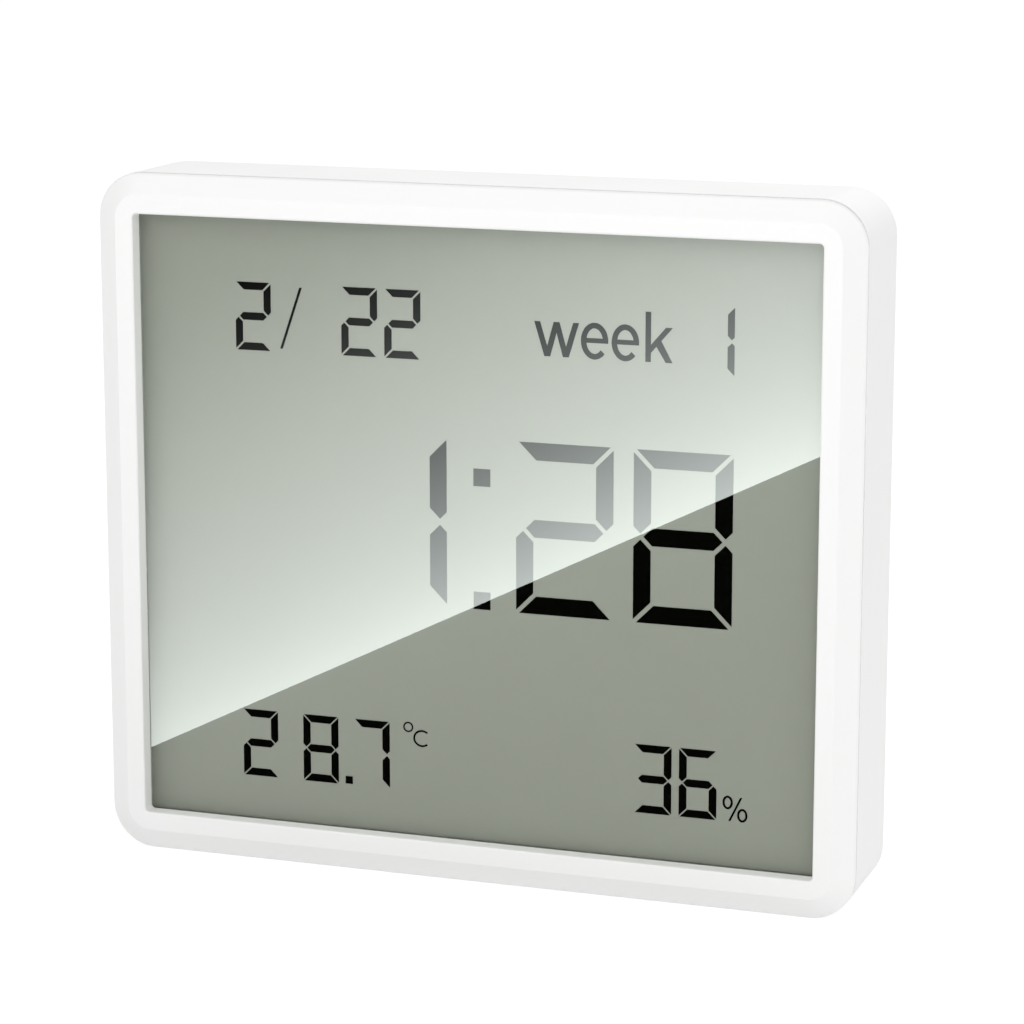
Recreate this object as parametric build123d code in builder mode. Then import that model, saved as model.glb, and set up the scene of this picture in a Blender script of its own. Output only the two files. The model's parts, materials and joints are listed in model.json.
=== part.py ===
from build123d import *
import os
from math import cos, radians, sin

os.makedirs("parts", exist_ok=True)

# Desk sensor with a full-face display. X runs across, the front looks along -Y, Z is up, and
# the origin is under the middle of the flat bottom. All lengths are millimetres.

# Housing outline and front frame
width = 80.0
height = 71.0
depth = 13.5
corner_radius = 4.6
border = 4.1
slope_inset = 2.2
slope_depth = 1.1
window_recess = 1.8
opening_radius = 0.45
opening_edge = 0.12

# Rear shell walls
side_wall = 1.2
back_wall = 1.4
back_edge_radius = 0.8
seam_groove = 0.45
seam_groove_depth = 0.5

# Lip of the front frame and its snap barbs
lip_gap = 0.1
lip_thickness = 0.9
lip_reach = 3.0
barb_setback = 0.5
barb_run = 0.9
barb_rise = 0.3
barb_length = 5.0
barb_gap = 0.1
barb_place_share = 0.28

# Window and the tape that holds it
tape_thickness = 0.15
tape_setback = 0.2
window_thickness = 0.8
window_gap = 0.2
window_chamfer = 0.1

# Display glass and films, behind a clear gap
display_gap = 0.2
film_thickness = 0.2
film_setback = 0.1
glass_thickness = 0.7
glass_gap = 0.1
glass_corner = 0.3
ledge_gap = 0.3
ledge_corner = 2.2
rear_glass_overlap = 0.25

# Elastomeric strip between the display's contact ledge and the board
strip_width = 1.5
strip_gap = 0.12
strip_end_margin = 6.0

# Tray behind the display
tray_thickness = 1.2
tray_gap = 0.15
tray_rim = 0.8
tray_rim_gap = 0.1
tray_relief = 4.2
peg_radius = 0.8
peg_gap = 0.1
peg_head_radius = 1.3
peg_head_height = 0.45
peg_side_inset = 4.2
peg_place_share = 0.21

# Board, its bosses and screws
board_thickness = 1.0
board_gap = 0.3
boss_inset = 7.2
boss_radius = 2.1
pilot_depth = 3.6
screw_radius = 0.75
screw_gap = 0.05
screw_head_radius = 1.6
screw_head_height = 0.8
screw_reach = 3.2

# Coin cell, its bay and contacts
cell_radius = 10.0
cell_thickness = 3.2
cell_cap_radius = 8.7
cell_cap_height = 0.35
cell_gap = 0.4
contact_height = 0.6
contact_thickness = 0.2
contact_width = 4.0
contact_foot = 2.6
contact_gap = 0.15
bay_wall = 1.2
bay_floor_gap = 0.3

# Battery door
door_thickness = 1.3
door_gap = 0.1
door_ledge = 1.3
door_edge = 0.2
skirt_thickness = 0.9
skirt_reach = 1.5
skirt_gap = 0.15
skirt_inner_gap = 0.2
bead_rise = 0.1
bead_height = 0.5
bead_width = 3.0
bead_groove = 0.2
door_rib = 1.2
door_side_margin = 5.0
door_top_margin = 7.0
pry_radius = 2.2

# Folding stand and its pocket
stand_width = 44.0
stand_thickness = 2.0
stand_flush = 0.1
stand_side_gap = 0.3
stand_heel = 1.6
stand_open_angle = 45.0
stand_foot_height = 2.6
stand_corner_radius = 3.0
stand_bore_gap = 0.05
stand_rest_gap = 0.1
stand_stop_gap = 0.04
stand_door_gap = 2.0
stand_edge = 0.3
stand_skin = 1.0
stand_rib = 1.2
stand_rib_bays = 4
nail_radius = 4.5
trunnion_radius = 0.7
trunnion_reach = 1.5
ear_wall = 2.4
pocket_wall = 1.0

# Keys, their switches and plungers
key_radius = 2.4
key_gap = 0.1
key_pitch = 8.0
key_side_margin = 10.0
key_flush = 0.15
key_travel = 0.4
key_flange = 6.2
key_flange_height = 0.8
key_flange_gap = 0.05
key_post = 2.2
key_post_rib = 0.8
key_edge = 0.25
switch_size = 4.5
switch_height = 2.4
switch_edge = 0.3
plunger_size = 1.8
plunger_gap = 0.08
plunger_depth = 0.6

# Air slots over the climate sensor
vent_count = 6
vent_width = 1.1
vent_length = 7.0
vent_pitch = 2.3
vent_key_gap = 5.5

# Hanging hole
hook_radius = 3.6
hook_slot_radius = 1.8
hook_rise = 5.0
hook_top_margin = 12.5
hook_room = 3.0
hook_room_margin = 1.2
hook_room_wall = 0.9

# Parts on the board's back
sensor_size = 2.5
sensor_height = 0.9
sensor_window = 1.1
sensor_window_depth = 0.3
sensor_slot_width = 1.0
sensor_slot_gap = 2.4
chip_size = 7.0
chip_height = 1.4
chip_edge = 0.25
chip_leads_per_side = 8
lead_pitch = 0.8
lead_width = 0.3
lead_reach = 1.0
lead_height = 0.5
chip_height_share = 0.3
crystal_radius = 1.0
crystal_length = 6.0
crystal_gap = 2.0
radio_width = 12.0
radio_length = 16.0
radio_board_thickness = 0.8
radio_peg_gap = 1.2
shield_length = 10.5
shield_height = 1.6
shield_margin = 0.9
shield_wall = 0.2
shield_softness = 0.4
capacitor_length = 1.6
capacitor_width = 0.8
capacitor_height = 0.8
capacitor_count = 6
capacitor_pitch = 2.4
capacitor_gap = 2.5

# Depths, worked out from the front face backwards
front_y = -depth / 2
back_y = depth / 2
seam_y = front_y + slope_depth
window_front_y = front_y + window_recess
window_back_y = window_front_y + window_thickness
ledge_y = window_front_y - tape_thickness
front_film_y = window_back_y + display_gap + film_thickness
front_glass_y = front_film_y + glass_thickness
rear_glass_y = front_glass_y + glass_thickness
reflector_y = rear_glass_y + film_thickness
tray_y = reflector_y + tray_thickness
board_y = tray_y + board_thickness
back_inner_y = back_y - back_wall
lip_end_y = seam_y + lip_reach
barb_front_y = seam_y + barb_setback
barb_back_y = barb_front_y + barb_run

# Insets from the outline
lip_inset = side_wall + lip_gap
lip_inner_inset = lip_inset + lip_thickness
window_inset = lip_inner_inset + window_gap
rim_inset = lip_inner_inset + tray_rim_gap
glass_inset = rim_inset + tray_rim + glass_gap
board_inset = side_wall + board_gap
tray_inset = side_wall + tray_gap

# Battery door and bay
bay_radius = cell_radius + cell_gap
skirt_inner_radius = bay_radius + skirt_inner_gap
skirt_radius = skirt_inner_radius + skirt_thickness
skirt_bore_radius = skirt_radius + skirt_gap
seat_radius = skirt_bore_radius + door_ledge
door_radius = seat_radius - door_gap
bay_outer_radius = seat_radius + bay_wall
door_x = width / 2 - side_wall - door_side_margin - door_radius
door_z = height - side_wall - door_top_margin - door_radius
pry_place = (door_x + seat_radius, door_z)
seat_y = back_y - door_thickness
skirt_end_y = seat_y - skirt_reach
skirt_floor_y = skirt_end_y - skirt_gap
cell_front_y = board_y + contact_height
cell_back_y = cell_front_y + cell_thickness
clip_x = door_x - cell_radius
clip_top_y = cell_back_y - 3 * contact_thickness

# Folding stand
hinge_y = back_y - stand_flush - stand_thickness / 2
heel_sweep = ((stand_thickness / 2) ** 2 + stand_heel**2) ** 0.5
pocket_top_z = door_z - bay_outer_radius - stand_door_gap
hinge_z = pocket_top_z - heel_sweep - stand_rest_gap
open_cos, open_sin = cos(radians(stand_open_angle)), sin(radians(stand_open_angle))
stop_reach = stand_thickness / 2 + stand_stop_gap
pocket_floor_y = hinge_y - stand_thickness / 2 - stand_rest_gap
hinge_floor_y = hinge_y - stand_thickness / 2 * open_cos - stand_heel * open_sin - stand_stop_gap
stop_front_z = hinge_z - (stop_reach - (hinge_y - hinge_floor_y) * open_cos) / open_sin
stop_back_z = hinge_z - (stop_reach - (hinge_y - pocket_floor_y) * open_cos) / open_sin
pocket_width = stand_width + 2 * stand_side_gap
pocket_bottom_z = stand_foot_height - stand_side_gap

# Keys in a row beside the door, vents above them, keyhole on the centre line
keys_z = door_z - key_pitch / 2
key_places = [(-width / 2 + key_side_margin + i * key_pitch, keys_z) for i in range(3)]
vent_x = key_places[1][0]
vent_z = keys_z + vent_key_gap + vent_length / 2 + key_radius
hook_z = height - hook_top_margin
hinge_axis = Location((0, hinge_y, hinge_z), (0, 90, 0))
boss_places = [(width / 2 - boss_inset, boss_inset), (boss_inset - width / 2, height - boss_inset)]
peg_places = [
    (side * (width / 2 - peg_side_inset), height * (0.5 + side * peg_place_share)) for side in (-1, 1)
]


def upright(y):
    """Sketching plane across the housing at a depth y; extruding from it goes forwards."""
    return Plane.XZ.offset(-y)


def outline(inset, mode=Mode.ADD):
    """The housing's rounded outline, drawn in by an inset."""
    with Locations((0, height / 2)):
        RectangleRounded(
            width - 2 * inset, height - 2 * inset, max(corner_radius - inset, opening_radius), mode=mode
        )


def cut_outline(inset, mode=Mode.ADD):
    """The same outline with its corners cut straight, for the flat pieces inside."""
    side, top = width / 2 - inset, height - inset
    cut = corner_radius - inset
    right = [(side - cut, inset), (side, inset + cut), (side, top - cut), (side - cut, top)]
    left = [(-x, z) for x, z in reversed(right)]
    Polygon(*right, *left, align=None, mode=mode)


def panel(side_inset, bottom_z, top_z, mode=Mode.ADD):
    """A rectangle between two heights, drawn in from both sides."""
    with Locations((0, (bottom_z + top_z) / 2)):
        Rectangle(width - 2 * side_inset, top_z - bottom_z, mode=mode)


def write(piece, name):
    """Label a finished piece and write its file."""
    piece.part.label = name
    export_step(piece.part, f"parts/{name}.step")


# Front frame: sloping edge, deep reveal, a ledge for the window, and a lip with snap barbs
with BuildPart() as front_bezel:
    with BuildSketch(upright(seam_y)):
        outline(0)
    with BuildSketch(upright(front_y)):
        outline(slope_inset)
    loft(ruled=True)
    with BuildSketch(upright(lip_end_y)):
        outline(lip_inset)
    extrude(amount=lip_end_y - seam_y)
    with BuildSketch(upright(lip_end_y)):
        outline(lip_inner_inset)
    extrude(amount=lip_end_y - ledge_y, mode=Mode.SUBTRACT)
    with BuildSketch(upright(ledge_y)):
        with Locations((0, height / 2)):
            RectangleRounded(width - 2 * border, height - 2 * border, opening_radius)
    extrude(amount=ledge_y - front_y, mode=Mode.SUBTRACT)
    opening_rim = front_bezel.faces().sort_by(Axis.Y)[0].inner_wires()[0].edges()
    chamfer(opening_rim, opening_edge)
    # Along the bottom the lip stops at the window, to make room for the display's contact ledge
    with BuildSketch(upright(lip_end_y)):
        panel(side_wall, 0, corner_radius)
    extrude(amount=lip_end_y - window_back_y, mode=Mode.SUBTRACT)
    for side in (-1, 1):
        lip_x = side * (width / 2 - lip_inset)
        for share in (0.5 - barb_place_share, 0.5 + barb_place_share):
            with BuildSketch(Plane.XY.offset(height * share - barb_length / 2)):
                with BuildLine():
                    Polyline(
                        (lip_x, barb_front_y),
                        (lip_x + side * barb_rise, barb_front_y),
                        (lip_x, barb_back_y),
                        close=True,
                    )
                make_face()
            extrude(amount=barb_length)
    for lip_z, out in ((lip_inset, -1), (height - lip_inset, 1)):
        for share in (-barb_place_share, barb_place_share):
            with BuildSketch(Plane.YZ.offset(width * share - barb_length / 2)):
                with BuildLine():
                    Polyline(
                        (barb_front_y, lip_z),
                        (barb_front_y, lip_z + out * barb_rise),
                        (barb_back_y, lip_z),
                        close=True,
                    )
                make_face()
            extrude(amount=barb_length)
write(front_bezel, "front_bezel")

# Tape frame between the ledge and the window
with BuildPart() as window_adhesive:
    with BuildSketch(upright(window_front_y)):
        cut_outline(window_inset)
        opening_inset = border - tape_setback
        panel(opening_inset, opening_inset, height - opening_inset, mode=Mode.SUBTRACT)
    extrude(amount=tape_thickness)
write(window_adhesive, "window_adhesive")

# Clear window
with BuildPart() as display_window:
    with BuildSketch(upright(window_back_y)):
        cut_outline(window_inset)
    extrude(amount=window_thickness)
    chamfer(display_window.faces().sort_by(Axis.Y)[0].edges(), window_chamfer)
write(display_window, "display_window")

# Display: the front glass reaches below the rear glass, as a ledge that carries its contacts
ledge_bottom_z = side_wall + ledge_gap
rear_bottom_z = border - rear_glass_overlap
glass_top_z = height - glass_inset

with BuildPart() as front_polariser:
    with BuildSketch(upright(front_film_y)):
        panel(glass_inset + film_setback, rear_bottom_z, glass_top_z - film_setback)
    extrude(amount=film_thickness)
write(front_polariser, "front_polariser")

with BuildPart() as front_glass:
    with BuildSketch(upright(front_glass_y)) as front_glass_outline:
        panel(glass_inset, ledge_bottom_z, glass_top_z)
        chamfer(front_glass_outline.vertices().group_by(Axis.Y)[0], ledge_corner)
        chamfer(front_glass_outline.vertices().group_by(Axis.Y)[-1], glass_corner)
    extrude(amount=glass_thickness)
write(front_glass, "front_glass")

with BuildPart() as rear_glass:
    with BuildSketch(upright(rear_glass_y)) as rear_glass_outline:
        panel(glass_inset, rear_bottom_z, glass_top_z)
        chamfer(rear_glass_outline.vertices(), glass_corner)
    extrude(amount=glass_thickness)
write(rear_glass, "rear_glass")

with BuildPart() as reflector:
    with BuildSketch(upright(reflector_y)):
        panel(glass_inset + film_setback, rear_bottom_z + film_setback, glass_top_z - film_setback)
    extrude(amount=film_thickness)
write(reflector, "reflector")

# Elastomeric strip from the contact ledge to the board
strip_z = (ledge_bottom_z + rear_bottom_z) / 2
with BuildPart() as connector_strip:
    with BuildSketch(upright(tray_y)):
        panel(glass_inset + strip_end_margin, strip_z - strip_width / 2, strip_z + strip_width / 2)
    extrude(amount=tray_y - front_glass_y)
write(connector_strip, "connector_strip")

# Tray: a plate behind the display, with a rim on three sides that holds the window against its
# ledge, and pegs staked through the board
with BuildPart() as display_holder:
    with BuildSketch(upright(tray_y)):
        cut_outline(tray_inset)
    extrude(amount=tray_thickness)
    with BuildSketch(upright(reflector_y)):
        cut_outline(rim_inset)
        panel(glass_inset - glass_gap, 0, glass_top_z + glass_gap, mode=Mode.SUBTRACT)
        panel(0, 0, corner_radius, mode=Mode.SUBTRACT)
    extrude(amount=reflector_y - window_back_y)
    with BuildSketch(upright(tray_y)):
        panel(
            glass_inset + strip_end_margin - strip_gap,
            strip_z - strip_width / 2 - strip_gap,
            strip_z + strip_width / 2 + strip_gap,
        )
        with Locations(*boss_places):
            Rectangle(tray_relief, tray_relief)
    extrude(amount=tray_thickness, mode=Mode.SUBTRACT)
    with BuildSketch(upright(board_y)):
        with Locations(*peg_places):
            Circle(peg_radius)
    extrude(amount=board_thickness)
    with BuildSketch(upright(board_y + peg_head_height)):
        with Locations(*peg_places):
            Circle(peg_head_radius)
    extrude(amount=peg_head_height)
write(display_holder, "display_holder")

# Board, with a slot round three sides of the climate sensor to keep the board's heat away
sensor_place = (vent_x, vent_z)
slot_span = sensor_size + 2 * sensor_slot_gap
with BuildPart() as main_board:
    with BuildSketch(upright(board_y)):
        cut_outline(board_inset)
        with Locations(*boss_places):
            Circle(screw_radius + screw_gap, mode=Mode.SUBTRACT)
        with Locations(*peg_places):
            Circle(peg_radius + peg_gap, mode=Mode.SUBTRACT)
        with Locations(sensor_place):
            Rectangle(slot_span + sensor_slot_width, slot_span + sensor_slot_width, mode=Mode.SUBTRACT)
            Rectangle(slot_span - sensor_slot_width, slot_span - sensor_slot_width)
        with Locations((vent_x, vent_z + slot_span / 2)):
            Rectangle(slot_span - sensor_slot_width, sensor_slot_width)
    extrude(amount=board_thickness)
write(main_board, "main_board")

with BuildPart() as board_screws:
    with BuildSketch(upright(tray_y)):
        with Locations(*boss_places):
            Circle(screw_head_radius)
    extrude(amount=screw_head_height)
    with BuildSketch(upright(board_y + screw_reach)):
        with Locations(*boss_places):
            Circle(screw_radius)
    extrude(amount=screw_reach + board_thickness)
write(board_screws, "board_screws")

# Rear shell
with BuildPart() as rear_housing:
    with BuildSketch(upright(back_y)):
        outline(0)
    extrude(amount=back_y - seam_y)
    fillet(rear_housing.faces().sort_by(Axis.Y)[-1].edges(), back_edge_radius)
    with BuildSketch(upright(back_inner_y)):
        outline(side_wall)
    extrude(amount=back_inner_y - seam_y, mode=Mode.SUBTRACT)

    # Square shadow groove where the front frame meets the shell
    with BuildSketch(upright(seam_y + seam_groove)):
        outline(0)
        outline(seam_groove_depth, mode=Mode.SUBTRACT)
    extrude(amount=seam_groove, mode=Mode.SUBTRACT)

    # Grooves that the bezel's barbs click into
    groove_y = (barb_front_y + barb_back_y) / 2
    groove_run = barb_run + 2 * barb_gap
    groove_deep = 2 * (barb_rise - lip_gap + barb_gap)
    for share in (-barb_place_share, barb_place_share):
        with Locations((0, groove_y, height * (0.5 + share))):
            Box(
                width - 2 * side_wall + groove_deep,
                groove_run,
                barb_length + 2 * barb_gap,
                mode=Mode.SUBTRACT,
            )
        with Locations((width * share, groove_y, height / 2)):
            Box(
                barb_length + 2 * barb_gap,
                groove_run,
                height - 2 * side_wall + groove_deep,
                mode=Mode.SUBTRACT,
            )

    # Bosses for the board at two opposite corners, with pilot holes
    with BuildSketch(upright(back_inner_y)):
        with Locations(*boss_places):
            Circle(boss_radius)
    extrude(amount=back_inner_y - board_y)
    with BuildSketch(upright(board_y)):
        with Locations(*boss_places):
            Circle(screw_radius + screw_gap)
    extrude(amount=-pilot_depth, mode=Mode.SUBTRACT)

    # Stand pocket: a tray in the back wall, deeper where the heel turns, with a sloped stop that
    # the open stand's inner face lies on
    with BuildSketch(upright(back_inner_y)):
        panel((width - pocket_width) / 2 - pocket_wall, side_wall, pocket_top_z + pocket_wall)
    extrude(amount=back_inner_y - pocket_floor_y + pocket_wall)
    with BuildSketch(upright(back_inner_y)):
        panel((width - pocket_width) / 2 - ear_wall, stop_back_z - pocket_wall, pocket_top_z + pocket_wall)
    extrude(amount=back_inner_y - hinge_floor_y + pocket_wall)
    with BuildSketch(upright(back_y)):
        panel((width - pocket_width) / 2, pocket_bottom_z, pocket_top_z)
    extrude(amount=back_y - pocket_floor_y, mode=Mode.SUBTRACT)
    with BuildSketch(Plane.YZ.offset(-pocket_width / 2)):
        with BuildLine():
            Polyline(
                (back_y, stop_back_z),
                (pocket_floor_y, stop_back_z),
                (hinge_floor_y, stop_front_z),
                (hinge_floor_y, pocket_top_z),
                (back_y, pocket_top_z),
                close=True,
            )
        make_face()
    extrude(amount=pocket_width, mode=Mode.SUBTRACT)
    with Locations(hinge_axis):
        Cylinder(
            trunnion_radius + stand_bore_gap,
            pocket_width + 2 * trunnion_reach,
            mode=Mode.SUBTRACT,
        )

    # Battery bay: a stepped cup with even walls, open towards the board
    with BuildSketch(upright(back_inner_y)):
        with Locations((door_x, door_z)):
            Circle(bay_outer_radius)
        with Locations(pry_place):
            Circle(pry_radius + bay_wall)
    extrude(amount=back_inner_y - skirt_floor_y + bay_wall)
    with BuildSketch(upright(skirt_floor_y)):
        with Locations((door_x, door_z)):
            Circle(bay_radius + bay_wall)
    extrude(amount=skirt_floor_y - board_y - bay_floor_gap)
    with BuildSketch(upright(back_y)):
        with Locations((door_x, door_z)):
            Circle(seat_radius)
        with Locations(pry_place):
            Circle(pry_radius)
    extrude(amount=door_thickness, mode=Mode.SUBTRACT)
    with BuildSketch(upright(seat_y)):
        with Locations((door_x, door_z)):
            Circle(skirt_bore_radius)
    extrude(amount=seat_y - skirt_floor_y, mode=Mode.SUBTRACT)
    with BuildSketch(upright(skirt_floor_y)):
        with Locations((door_x, door_z)):
            Circle(bay_radius)
    extrude(amount=skirt_floor_y - board_y, mode=Mode.SUBTRACT)
    with BuildSketch(upright(skirt_end_y + bead_height + bead_groove)):
        with Locations((door_x, door_z)):
            Rectangle(2 * (skirt_bore_radius + bead_groove), bead_width + 2 * bead_groove)
    extrude(amount=bead_height + bead_groove, mode=Mode.SUBTRACT)
    clip_slot_top_y = clip_top_y + contact_gap
    with Locations((door_x - bay_radius - bay_wall / 2, (clip_slot_top_y + board_y) / 2, door_z)):
        Box(
            bay_wall + 4 * contact_gap,
            clip_slot_top_y - board_y,
            contact_width + 2 * contact_gap,
            mode=Mode.SUBTRACT,
        )

    # Hanging hole, with a closed room behind it for a screw's head
    with BuildSketch(upright(back_inner_y)):
        with Locations((0, hook_z + hook_rise / 2)):
            room_width = 2 * (hook_radius + hook_room_margin)
            room_height = hook_rise + 2 * (hook_radius + hook_room_margin)
            Rectangle(room_width + 2 * hook_room_wall, room_height + hook_room_wall)
    extrude(amount=hook_room + hook_room_wall)
    with BuildSketch(upright(back_inner_y)):
        with Locations((0, hook_z + hook_rise / 2)):
            Rectangle(room_width, room_height - hook_room_wall)
    extrude(amount=hook_room, mode=Mode.SUBTRACT)
    with BuildSketch(upright(back_y)):
        with Locations((0, hook_z)):
            Circle(hook_radius)
        with Locations((0, hook_z + hook_rise / 2)):
            SlotOverall(hook_rise + 2 * hook_slot_radius, 2 * hook_slot_radius, rotation=90)
        with Locations(*key_places):
            Circle(key_radius + key_gap)
        with Locations((vent_x, vent_z)):
            with GridLocations(vent_pitch, 0, vent_count, 1):
                Rectangle(vent_width, vent_length)
    extrude(amount=back_wall, mode=Mode.SUBTRACT)
write(rear_housing, "rear_housing")

# Coin cell: a can with a smaller cap on the side that faces the board
with BuildPart() as coin_cell:
    with BuildSketch(upright(cell_back_y)):
        with Locations((door_x, door_z)):
            Circle(cell_radius)
    extrude(amount=cell_thickness - cell_cap_height)
    with BuildSketch(upright(cell_front_y + cell_cap_height)):
        with Locations((door_x, door_z)):
            Circle(cell_cap_radius)
    extrude(amount=cell_cap_height)
write(coin_cell, "coin_cell")

# Negative contact: a bowed leaf on the board under the middle of the cell
bow = cell_cap_radius / 2
with BuildPart() as negative_contact:
    with BuildSketch(Plane.XY.offset(door_z - contact_width / 2)):
        with BuildLine():
            leaf_top = cell_front_y - contact_thickness
            Polyline(
                (door_x - bow - contact_foot, board_y),
                (door_x - bow, board_y),
                (door_x - bow / 2, leaf_top),
                (door_x + bow / 2, leaf_top),
                (door_x + bow, board_y),
                (door_x + bow + contact_foot, board_y),
                (door_x + bow + contact_foot, board_y + contact_thickness),
                (door_x + bow + contact_thickness / 2, board_y + contact_thickness),
                (door_x + bow / 2 + contact_thickness / 2, cell_front_y),
                (door_x - bow / 2 - contact_thickness / 2, cell_front_y),
                (door_x - bow - contact_thickness / 2, board_y + contact_thickness),
                (door_x - bow - contact_foot, board_y + contact_thickness),
                close=True,
            )
        make_face()
    extrude(amount=contact_width)
write(negative_contact, "negative_contact")

# Positive contact: a clip that stands on the board and bears on the cell's side
with BuildPart() as positive_contact:
    with BuildSketch(Plane.XY.offset(door_z - contact_width / 2)):
        with BuildLine():
            Polyline(
                (clip_x - contact_foot, board_y),
                (clip_x - contact_thickness, board_y),
                (clip_x - contact_thickness, cell_front_y + contact_height),
                (clip_x, (cell_front_y + clip_top_y) / 2),
                (clip_x - contact_thickness, clip_top_y),
                (clip_x - 2 * contact_thickness, clip_top_y),
                (clip_x - contact_thickness, (cell_front_y + clip_top_y) / 2),
                (clip_x - 2 * contact_thickness, cell_front_y + contact_height),
                (clip_x - 2 * contact_thickness, board_y + contact_thickness),
                (clip_x - contact_foot, board_y + contact_thickness),
                close=True,
            )
        make_face()
    extrude(amount=contact_width)
write(positive_contact, "positive_contact")

# Battery door: a disc with a skirt, snap beads on it, and a cross rib that holds the cell down
with BuildPart() as battery_door:
    with BuildSketch(upright(back_y)):
        with Locations((door_x, door_z)):
            Circle(door_radius)
    extrude(amount=door_thickness)
    chamfer(battery_door.faces().sort_by(Axis.Y)[-1].edges(), door_edge)
    with BuildSketch(upright(seat_y)):
        with Locations((door_x, door_z)):
            Circle(skirt_radius)
            Circle(skirt_inner_radius, mode=Mode.SUBTRACT)
            Rectangle(2 * skirt_inner_radius + skirt_thickness, door_rib)
            Rectangle(door_rib, 2 * skirt_inner_radius + skirt_thickness)
    extrude(amount=skirt_reach)
    with BuildSketch(upright(skirt_end_y + bead_height)):
        with Locations((door_x, door_z)):
            Circle(skirt_radius + bead_rise)
            Circle(skirt_inner_radius, mode=Mode.SUBTRACT)
            Rectangle(2 * (skirt_radius + bead_rise), bead_width, mode=Mode.INTERSECT)
    extrude(amount=bead_height)
write(battery_door, "battery_door")

# Folding stand: a ribbed plate with a nail notch, turning on two trunnions
stand_back_y = back_y - stand_flush
stand_front_y = stand_back_y - stand_thickness
stand_top_z = hinge_z + stand_heel
with BuildPart() as kickstand:
    with BuildSketch(upright(stand_back_y)) as stand_outline:
        with Locations((0, (stand_foot_height + stand_top_z) / 2)):
            Rectangle(stand_width, stand_top_z - stand_foot_height)
        fillet(stand_outline.vertices().group_by(Axis.Y)[0], stand_corner_radius)
        with Locations((0, stand_foot_height)):
            Circle(nail_radius, mode=Mode.SUBTRACT)
    extrude(amount=stand_thickness)
    chamfer(kickstand.faces().sort_by(Axis.Y)[-1].edges(), stand_edge)
    bay_span = (stand_width - stand_rib) / stand_rib_bays
    bay_bottom_z = stand_foot_height + nail_radius + stand_rib
    bay_top_z = hinge_z - stand_thickness
    with BuildSketch(upright(stand_front_y)):
        with Locations((0, (bay_bottom_z + bay_top_z) / 2)):
            with GridLocations(bay_span, 0, stand_rib_bays, 1):
                Rectangle(bay_span - stand_rib, bay_top_z - bay_bottom_z)
    extrude(amount=-(stand_thickness - stand_skin), mode=Mode.SUBTRACT)
    with Locations(hinge_axis):
        Cylinder(trunnion_radius, stand_width + 2 * (stand_side_gap + trunnion_reach - stand_bore_gap))
write(kickstand, "kickstand")

# Keys: a round cap, a square flange that stops it inside the wall, and a cross post over its plunger
key_top_y = back_y - key_flush
flange_back_y = back_inner_y - key_flange_gap
flange_front_y = flange_back_y - key_flange_height
post_front_y = board_y + switch_height + key_travel + contact_thickness
for name, (key_x, key_z) in zip(("down", "up", "set"), key_places):
    with BuildPart() as key:
        with BuildSketch(upright(key_top_y)):
            with Locations((key_x, key_z)):
                Circle(key_radius)
        extrude(amount=key_top_y - flange_back_y)
        chamfer(key.faces().sort_by(Axis.Y)[-1].edges(), key_edge)
        with BuildSketch(upright(flange_back_y)):
            with Locations((key_x, key_z)):
                Rectangle(key_flange, key_flange)
        extrude(amount=key_flange_height)
        with BuildSketch(upright(flange_front_y)):
            with Locations((key_x, key_z)):
                Rectangle(key_post, key_post_rib)
                Rectangle(key_post_rib, key_post)
        extrude(amount=flange_front_y - post_front_y)
    write(key, f"{name}_key")

    with BuildPart() as plunger:
        with BuildSketch(upright(post_front_y)):
            with Locations((key_x, key_z)):
                Rectangle(plunger_size, plunger_size)
        extrude(amount=post_front_y - board_y - switch_height + plunger_depth)
    write(plunger, f"{name}_plunger")

with BuildPart() as tactile_switches:
    with BuildSketch(upright(board_y + switch_height)):
        with Locations(*key_places):
            Rectangle(switch_size, switch_size)
    extrude(amount=switch_height)
    chamfer(tactile_switches.edges().filter_by(Axis.Y), switch_edge)
    with BuildSketch(upright(board_y + switch_height)):
        with Locations(*key_places):
            Rectangle(plunger_size + 2 * plunger_gap, plunger_size + 2 * plunger_gap)
    extrude(amount=plunger_depth + key_travel + plunger_gap, mode=Mode.SUBTRACT)
write(tactile_switches, "tactile_switches")

# Climate sensor on its tongue of the board, right behind the air slots
with BuildPart() as climate_sensor:
    with BuildSketch(upright(board_y + sensor_height)):
        with Locations(sensor_place):
            Rectangle(sensor_size, sensor_size)
    extrude(amount=sensor_height)
    with BuildSketch(upright(board_y + sensor_height)):
        with Locations(sensor_place):
            Rectangle(sensor_window, sensor_window)
    extrude(amount=sensor_window_depth, mode=Mode.SUBTRACT)
write(climate_sensor, "climate_sensor")

# Controller with leads on four sides
chip_z = height * chip_height_share
with BuildPart() as controller_chip:
    with BuildSketch(upright(board_y + chip_height)):
        with Locations((0, chip_z)):
            Rectangle(chip_size, chip_size)
    extrude(amount=chip_height)
    chamfer(controller_chip.faces().sort_by(Axis.Y)[-1].edges(), chip_edge)
    with BuildSketch(upright(board_y + lead_height)):
        with Locations((0, chip_z)):
            with GridLocations(lead_pitch, 0, chip_leads_per_side, 1):
                Rectangle(lead_width, chip_size + 2 * lead_reach)
            with GridLocations(0, lead_pitch, 1, chip_leads_per_side):
                Rectangle(chip_size + 2 * lead_reach, lead_width)
    extrude(amount=lead_height)
write(controller_chip, "controller_chip")

crystal_x = chip_size / 2 + lead_reach + crystal_gap + crystal_length / 2
with BuildPart() as clock_crystal:
    with Locations(Location((crystal_x, board_y + crystal_radius, chip_z), (0, 90, 0))):
        Cylinder(crystal_radius, crystal_length)
write(clock_crystal, "clock_crystal")

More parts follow.
